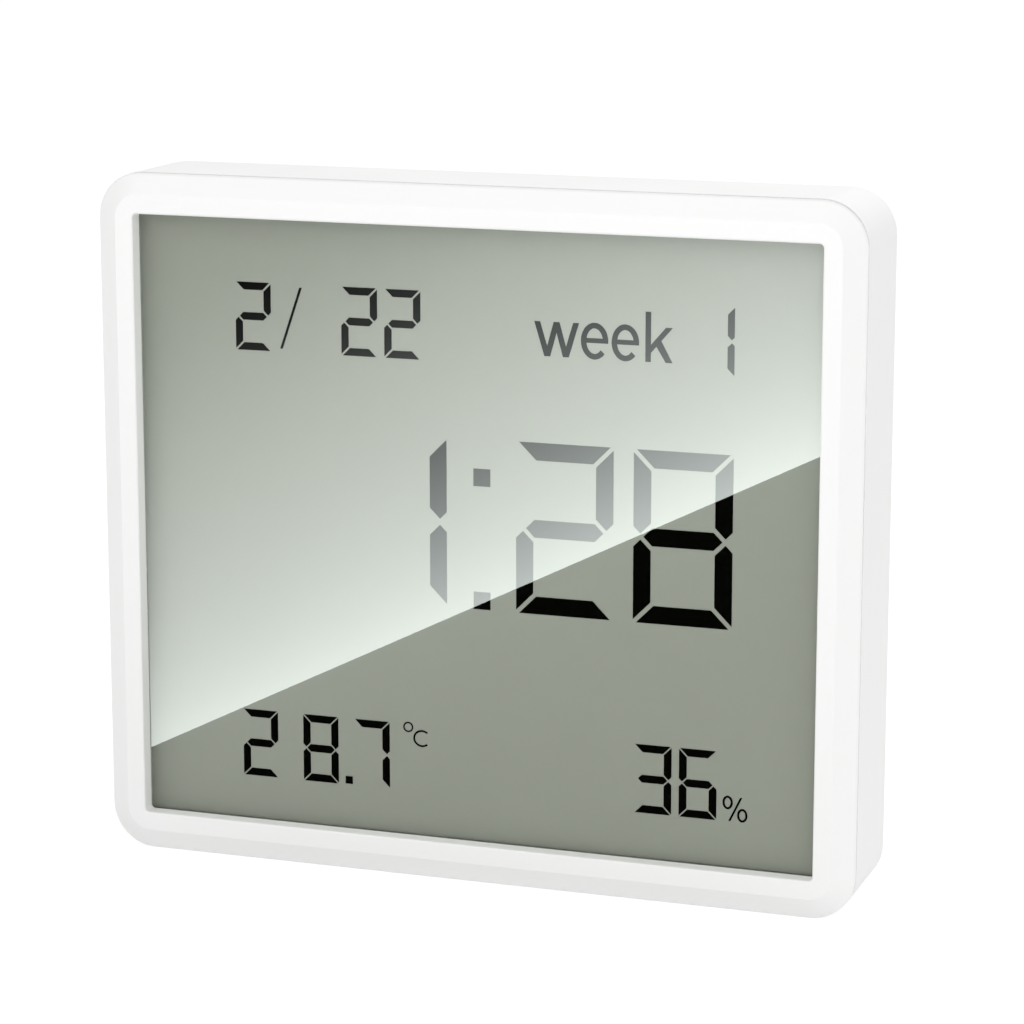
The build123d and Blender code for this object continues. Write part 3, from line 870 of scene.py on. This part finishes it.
@dataclass(frozen=True)
class Letters:
    """Small letters of even strokes, with the shares that place their joins."""

    foot: float = 54.25 * MM
    high: float = 3.45 * MM
    stem: float = 4.93 * MM
    line: float = 0.56 * MM
    w_level_share: float = 1.08
    w_turn_shares: tuple[float, ...] = (0, 0.26, 0.5, 0.74, 1)
    e_swell: float = 0.1 * MM
    e_rise: float = 0.03 * MM
    e_start: float = 2
    e_sweep: float = 315
    e_bar_share: float = 0.86
    e_bar_rise: float = 0.05 * MM
    e_bar_left_share: float = 0.6
    e_bar_cut_share: float = 0.62
    k_level_share: float = 1.25
    k_arm_shares: tuple[float, float] = (0.26, 0.49)
    k_leg_shares: tuple[float, float] = (0.38, 0.20)

    def draw_w(self, art: Artwork, left: float, wide: float) -> None:
        """Draw a w of four slanting strokes.

        Args:
            art: Where to draw it.
            left: Its left side.
            wide: Its width.
        """
        level = self.line * self.w_level_share
        xs = [left + level / 2 + share * (wide - level) for share in self.w_turn_shares]
        head = self.foot + self.high
        for turn in range(len(xs) - 1):
            low, top = (turn, turn + 1) if turn % 2 else (turn + 1, turn)
            art.slant((xs[low], self.foot), (xs[top], head), level)

    def draw_e(self, art: Artwork, left: float, wide: float) -> None:
        """Draw an e of an open oval and its bar.

        Args:
            art: Where to draw it.
            left: Its left side.
            wide: Its width.
        """
        radii = ((wide - self.line) / 2, (self.high - self.line) / 2 + self.e_swell)
        centre = (left + wide / 2, self.foot + self.high / 2 + self.e_rise)
        art.bow(centre, radii, self.line, self.e_start, self.e_sweep)
        bar = self.line * self.e_bar_share
        bar_foot = centre[1] - bar / 2 + self.e_bar_rise
        cut = self.line * self.e_bar_cut_share
        art.block(left + self.line * self.e_bar_left_share, bar_foot, wide - cut, bar)

    def draw_k(self, art: Artwork, left: float, wide: float) -> None:
        """Draw a k of a stem, an arm and a leg that starts at the arm's lower edge.

        Args:
            art: Where to draw it.
            left: Its left side.
            wide: Its width.
        """
        art.block(left, self.foot, self.line, self.stem)
        level = self.k_level_share * self.line
        edge, side = left + self.line, left + wide
        head = self.foot + self.high
        low, top = (self.foot + share * self.high for share in self.k_arm_shares)
        slope = (head - low) / (side - edge)
        art.patch([(edge, low), (side, head), (side - level, head), (edge, top)])
        joins = [edge + share * wide for share in self.k_leg_shares]
        tops = [(x, low + (x - edge) * slope) for x in joins]
        art.patch([(side - level, self.foot), (side, self.foot), *tops])


@dataclass
class Display:
    """The figures and legends that the display shows, in rows from the top."""

    big: FigureStyle = FigureStyle(10.15 * MM, 17.45 * MM, 1.8 * MM, 0.31 * MM)
    small: FigureStyle = FigureStyle(3.87 * MM, 6.95 * MM, 0.78 * MM, 0.14 * MM)
    weekday: FigureStyle = FigureStyle(3.87 * MM, 6.95 * MM, 0.70 * MM, 0.14 * MM)
    lower: FigureStyle = FigureStyle(3.90 * MM, 7.08 * MM, 0.80 * MM, 0.10 * MM)
    letters: Letters = Letters()
    relief: float = 0.02 * MM
    date_foot: float = 53.18 * MM
    weekday_foot: float = 53.2 * MM
    clock_foot: float = 28.08 * MM
    temperature_foot: float = 8.4 * MM
    humidity_foot: float = 8.54 * MM
    slash_ends: tuple[Flat, Flat] = ((-20.88 * MM, 53.5 * MM), (-18.72 * MM, 59.8 * MM))
    slash_line: float = 0.28 * MM
    colon_left: float = -0.28 * MM
    colon_feet: tuple[float, float] = (28.1 * MM, 40.72 * MM)
    colon_dot: float = 1.79 * MM
    point_corner: Flat = (-14.37 * MM, 8.5 * MM)
    point_side: float = 0.8 * MM
    degree_centre: Flat = (-7.42 * MM, 15.15 * MM)
    degree_radius: float = 0.47 * MM
    degree_line: float = 0.16 * MM
    celsius_centre: Flat = (-5.92 * MM, 14.05 * MM)
    celsius_radii: Flat = (0.86 * MM, 0.80 * MM)
    celsius_line: float = 0.2 * MM
    celsius_start: float = 48
    celsius_sweep: float = 264
    percent_centres: tuple[Flat, Flat] = ((26.46 * MM, 10.48 * MM), (27.98 * MM, 9.25 * MM))
    percent_radii: Flat = (0.42 * MM, 0.59 * MM)
    percent_ends: tuple[Flat, Flat] = ((26.66 * MM, 8.58 * MM), (27.85 * MM, 11.08 * MM))
    percent_line: float = 0.23 * MM

    def artwork(self, name: str) -> Artwork:
        """Start a piece of artwork on the display's face."""
        return Artwork(name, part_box("front_polariser")[0].y, self.relief)

    def date(self) -> Artwork:
        """Draw the month, a slash and the day."""
        art = self.artwork("date_figures")
        places = (("2", -25.86 * MM), ("2", -14.34 * MM), ("2", -9.72 * MM))
        art.figures(self.small, self.date_foot, places)
        art.slant(*self.slash_ends, self.slash_line)
        return art

    def week(self) -> Artwork:
        """Draw the word and the figure for the week's day."""
        art = self.artwork("week_legend")
        self.letters.draw_w(art, 6.12 * MM, 4.63 * MM)
        for left in (10.95 * MM, 14.1 * MM):
            self.letters.draw_e(art, left, 2.82 * MM)
        self.letters.draw_k(art, 17.56 * MM, 2.77 * MM)
        art.figures(self.weekday, self.weekday_foot, [("1", 22.69 * MM)])
        return art

    def clock(self) -> Artwork:
        """Draw the time."""
        art = self.artwork("clock_figures")
        places = (("1", -13.29 * MM), ("2", 4.24 * MM), ("8", 16.47 * MM))
        art.figures(self.big, self.clock_foot, places)
        for foot in self.colon_feet:
            art.block(self.colon_left, foot, self.colon_dot, self.colon_dot)
        return art

    def temperature(self) -> Artwork:
        """Draw the temperature and its unit."""
        art = self.artwork("temperature_figures")
        places = (("2", -25.75 * MM), ("8", -19.02 * MM), ("7", -13.36 * MM))
        art.figures(self.lower, self.temperature_foot, places)
        art.block(*self.point_corner, self.point_side, self.point_side)
        art.bow(self.degree_centre, (self.degree_radius, self.degree_radius), self.degree_line)
        art.bow(
            self.celsius_centre,
            self.celsius_radii,
            self.celsius_line,
            self.celsius_start,
            self.celsius_sweep,
        )
        return art

    def humidity(self) -> Artwork:
        """Draw the humidity and its sign."""
        art = self.artwork("humidity_figures")
        art.figures(self.lower, self.humidity_foot, (("3", 16.72 * MM), ("6", 21.4 * MM)))
        for centre in self.percent_centres:
            art.bow(centre, self.percent_radii, self.percent_line)
        art.slant(*self.percent_ends, self.percent_line)
        return art

    def build(self) -> list[bpy.types.Object]:
        """Make every row's piece.

        Returns:
            The dressed pieces, from the top.
        """
        ink = FIGURE_INK.material()
        rows = (self.date(), self.week(), self.clock(), self.temperature(), self.humidity())
        return [row.finish(ink) for row in rows]


class Task(Enum):
    """What a lamp is there for."""

    LIGHT = "light"
    SHEEN = "sheen"


@dataclass(frozen=True)
class Softbox:
    """A square lamp that gives either even light or a soft sheen."""

    name: str
    task: Task
    place: tuple[float, float, float]
    aim: tuple[float, float, float]
    side: float
    radiance: float

    def build(self) -> None:
        """Hang the lamp."""
        data = bpy.data.lights.new(self.name, "AREA")
        data.size = self.side
        data.energy = self.radiance * math.pi * self.side**2
        lamp = bpy.data.objects.new(self.name, data)
        lamp.location = self.place
        lamp.rotation_euler = (Vector(self.aim) - Vector(self.place)).to_track_quat("-Z", "Y").to_euler()
        lamp.visible_camera = False
        lamp.visible_glossy = self.task is Task.SHEEN
        lamp.visible_diffuse = self.task is Task.LIGHT
        bpy.context.scene.collection.objects.link(lamp)


MIDDLE = (0, 0, 0.045)
LOWER_FACE = (0, 0, 0.03)
TOP_FACE = (0, 0, 0.07)
LAMPS = (
    Softbox("Key", Task.LIGHT, (0.06, -0.12, 0.15), MIDDLE, side=0.10, radiance=0.54),
    Softbox("Side", Task.LIGHT, (-0.12, -0.10, 0.14), MIDDLE, side=0.08, radiance=0.6),
    Softbox("Fill", Task.LIGHT, (0.10, -0.30, 0.05), LOWER_FACE, side=0.10, radiance=4.6),
    Softbox("Top", Task.LIGHT, (0.08, 0.10, 0.28), TOP_FACE, side=0.15, radiance=3.0),
    Softbox("Sheen", Task.SHEEN, (-0.13, -0.36, 0.15), MIDDLE, side=0.30, radiance=3.3),
)


@dataclass
class Glare:
    """The bright corner that the window mirrors, and the light that it throws on the display's film.

    Its lower edge slants across the window, and it fades out upwards.
    """

    edge: tuple[Flat, Flat] = ((-35.8 * MM, 10.65 * MM), (35.46 * MM, 46.13 * MM))
    reach: float = 50 * MM
    fall: float = 3.1
    lean: float = 0.07
    card_gap: float = 0.1 * MM
    card_tint: Colour = (0.955, 1.035, 1.0)
    card_radiance: float = 1.84
    lamp_reach: float = 22.5 * MM
    lamp_width: float = 24 * MM
    lamp_overrun: float = 15 * MM
    lamp_gap: float = 12 * MM
    lamp_tint: Colour = (0.88, 0.88, 1.0)
    lamp_radiance: float = 0.545
    border: float = 4.1 * MM

    def __post_init__(self) -> None:
        """Work out the edge's ends, its way along and its way up, all in x and z."""
        self.foot, self.head = (Vector(end) for end in self.edge)
        self.along = (self.head - self.foot).normalized()
        self.upward = Vector((-self.along.y, self.along.x))

    def strength(self, graph: Graph, side: float) -> Signal:
        """Work out the card's light over its face.

        Args:
            graph: The card's material.
            side: How far the object reaches to one side.

        Returns:
            The light: nothing below the edge, most at it, and less upwards and to the left.
        """
        across, up = graph.along("X"), graph.along("Z")
        reach = (across - self.foot.x) * self.upward.x + (up - self.foot.y) * self.upward.y
        fade = (1 - reach * (1 / self.reach)).at_least(0.0)
        lean = 1 + across * (self.lean / side)
        return self.card_radiance * lean * fade**self.fall * reach.above(0.0)

    def paint(self, side: float) -> bpy.types.Material:
        """Make the card's light, which only mirror-sharp reflections see.

        Args:
            side: How far the object reaches to one side.

        Returns:
            The material.
        """
        made = bpy.data.materials.new("Card_light")
        graph = Graph(made)
        inputs = {"Color": (*self.card_tint, 1), "Strength": self.strength(graph, side)}
        light = graph.node("ShaderNodeEmission", None, inputs)
        clear = graph.node("ShaderNodeBsdfTransparent")
        polished = graph.node("ShaderNodeLightPath").outputs["Is Singular Ray"]
        blend = {0: polished, 1: clear.outputs[0], 2: light.outputs[0]}
        graph.show(graph.node("ShaderNodeMixShader", None, blend).outputs[0])
        return made

    def card(self) -> None:
        """Lay the card right before the window, inside the frame's opening.

        There the window shows it edge to edge, and the plastic doesn't show it at all.
        """
        low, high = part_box("front_bezel")
        wide, tall = (high[axis] - low[axis] - 2 * self.border for axis in (0, 2))
        card_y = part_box("display_window")[0].y - self.card_gap
        place = ((low.x + high.x) / 2, card_y, (low.z + high.z) / 2)
        upright = Matrix.Rotation(math.pi / 2, 3, "X")
        bm = bmesh.new()
        bmesh.ops.create_grid(bm, x_segments=1, y_segments=1, size=0.5)
        bmesh.ops.rotate(bm, cent=(0, 0, 0), matrix=upright, verts=bm.verts)
        bmesh.ops.scale(bm, vec=(wide, 1, tall), verts=bm.verts)
        bmesh.ops.translate(bm, vec=place, verts=bm.verts)
        card = new_piece("mirrored_card", bm, self.paint(high.x))
        card.visible_camera = False
        card.visible_diffuse = False
        card.visible_shadow = False
        card.visible_transmission = False
        card.visible_volume_scatter = False

    def lamp(self) -> None:
        """Hang a strip lamp along the edge that lights the film and leaves its figures dark."""
        ends = self.foot + self.head + self.along * self.lamp_overrun
        middle = ends / 2 + self.upward * self.lamp_reach
        data = bpy.data.lights.new("Glow", "AREA")
        data.shape = "RECTANGLE"
        data.size = (self.head - self.foot).length + self.lamp_overrun
        data.size_y = self.lamp_width
        data.color = self.lamp_tint
        data.energy = self.lamp_radiance * math.pi * data.size * data.size_y
        lamp = bpy.data.objects.new("Glow", data)
        place = Vector((middle.x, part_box("front_polariser")[0].y - self.lamp_gap, middle.y))
        turn = Matrix.Rotation(-math.atan2(self.along.y, self.along.x), 4, "Y")
        lamp.matrix_world = Matrix.Translation(place) @ turn @ Matrix.Rotation(math.pi / 2, 4, "X")
        lamp.visible_camera = False
        lamp.visible_glossy = False
        lit = bpy.data.collections.new("lit_by_glow")
        lit.objects.link(frame["nodes"]["front_polariser"])
        lamp.light_linking.receiver_collection = lit
        bpy.context.scene.collection.objects.link(lamp)


@dataclass
class Studio:
    """Floor, white surround, lamps and camera."""

    azimuth: float = math.radians(19.301)
    elevation: float = math.radians(11.853)
    distance: float = 341.99 * MM
    target: tuple[float, float, float] = (4.777 * MM, -6.75 * MM, 38.964 * MM)
    sensor: float = 36.0
    lens: float = 121.72
    clip_start: float = 0.01
    ambient: float = 0.77
    mirrored_back_share: float = 0.5
    floor_side: float = 3.0
    paper_grey: float = 0.85
    floor_glow: float = 1.22
    floor_glow_share: float = 0.72

    def eye(self) -> Vector:
        """Return the camera's place."""
        level = math.cos(self.elevation)
        away = (math.sin(self.azimuth) * level, -math.cos(self.azimuth) * level, math.sin(self.elevation))
        return Vector(self.target) + self.distance * Vector(away)

    def camera(self) -> None:
        """Set up the camera at the photograph's angle."""
        data = bpy.data.cameras.new("Camera")
        data.sensor_width = self.sensor
        data.lens = self.lens
        data.clip_start = self.clip_start
        camera = bpy.data.objects.new("Camera", data)
        camera.location = self.eye()
        camera.rotation_euler = (Vector(self.target) - self.eye()).to_track_quat("-Z", "Y").to_euler()
        bpy.context.scene.collection.objects.link(camera)
        bpy.context.scene.camera = camera

    def surround(self) -> None:
        """Make the white world, which is mirrored darker from behind."""
        world = bpy.data.worlds.new("Surround")
        graph = Graph(world)
        way = graph.node("ShaderNodeTexCoord").outputs["Generated"]
        back = graph.signal("ShaderNodeSeparateXYZ", "Y", {0: way})
        mirrored = 1 - self.mirrored_back_share * back.at_least(0.0) - self.ambient
        shown = (1 - self.ambient) * graph.ray("Camera", "Transmission")
        strength = self.ambient + shown + mirrored * graph.ray("Glossy")
        shader = graph.node("ShaderNodeBackground", None, {"Color": (1, 1, 1, 1), "Strength": strength})
        graph.show(shader.outputs[0])
        bpy.context.scene.world = world

    def floor(self) -> None:
        """Lay the pale floor, which keeps the object's shadow."""
        bm = bmesh.new()
        bmesh.ops.create_grid(bm, x_segments=1, y_segments=1, size=self.floor_side / 2)
        made = bpy.data.materials.new("Floor_paper")
        graph = Graph(made)
        seen = graph.ray("Camera", "Glossy", "Transmission")
        paper = graph.node("ShaderNodeBsdfDiffuse", None, {"Color": (*[self.paper_grey] * 3, 1)})
        light = {"Color": (1, 1, 1, 1), "Strength": self.floor_glow}
        glow = graph.node("ShaderNodeEmission", None, light)
        blend = {0: self.floor_glow_share * seen, 1: paper.outputs[0], 2: glow.outputs[0]}
        graph.show(graph.node("ShaderNodeMixShader", None, blend).outputs[0])
        new_piece("floor", bm, made)

    def build(self) -> None:
        """Set up everything round the object."""
        view = bpy.context.scene.view_settings
        view.view_transform = "Standard"
        self.camera()
        self.surround()
        self.floor()
        glare = Glare()
        glare.card()
        glare.lamp()
        for lamp in LAMPS:
            lamp.build()


def dress_nodes() -> dict[str, bpy.types.Material]:
    """Give every CAD node its finish.

    Returns:
        The materials by the record's slot.
    """
    materials = {slot: finish.material() for slot, finish in FINISHES.items()}
    for row in frame["record"]["subparts"]:
        data = frame["nodes"][row["node"]].data
        data.materials.clear()
        data.materials.append(materials[row["material_slot"]])
    return materials


def corners(box: tuple[Vector, Vector]) -> list[list[float]]:
    """Turn a box into plain lists."""
    return [list(corner) for corner in box]


def main() -> None:
    """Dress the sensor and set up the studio."""
    logging.basicConfig(level=logging.INFO, format="%(message)s")
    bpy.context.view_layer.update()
    materials = dress_nodes()
    for piece in Case().build(materials):
        log.info("moulding %s: %d faces", piece.name, len(piece.data.polygons))
    for piece in Display().build():
        log.info("display %s: %d faces", piece.name, len(piece.data.polygons))
    Studio().build()


if __name__ == "__main__":
    main()
